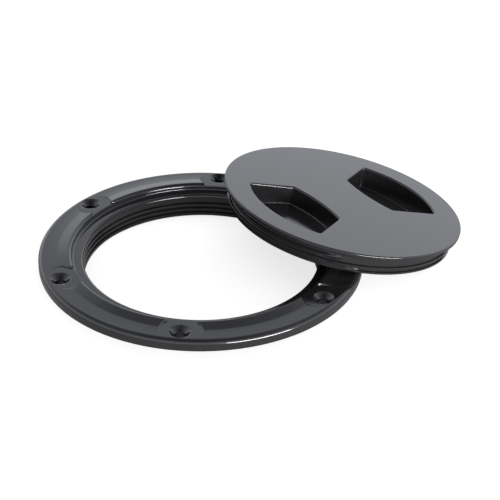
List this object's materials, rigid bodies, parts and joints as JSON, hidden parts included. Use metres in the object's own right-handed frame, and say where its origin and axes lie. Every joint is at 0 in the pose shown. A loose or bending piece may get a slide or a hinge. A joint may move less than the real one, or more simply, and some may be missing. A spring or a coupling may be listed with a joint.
{
  "type": "deck inspection plate",
  "caption": "Round black plastic deck inspection plate: a flanged ring with a threaded access opening, and its screw-in lid with finger pockets and an O-ring, leaning on the ring.",
  "frame": {"origin": "on the ring's axis, in the plane where its flange lies on the deck", "axes": "+Z out of the deck along the ring's axis, +X through the first screw hole, the side where the lid lies"},
  "size_m": [0.1935, 0.14, 0.0324],
  "materials": {
    "black_plastic": "moulded black plastic, smooth",
    "seal_rubber": "smooth black rubber"
  },
  "bodies": {
    "root": {"mounting_ring": "black_plastic", "screw_lid": "black_plastic", "lid_o_ring": "seal_rubber"}
  },
  "joints": []
}
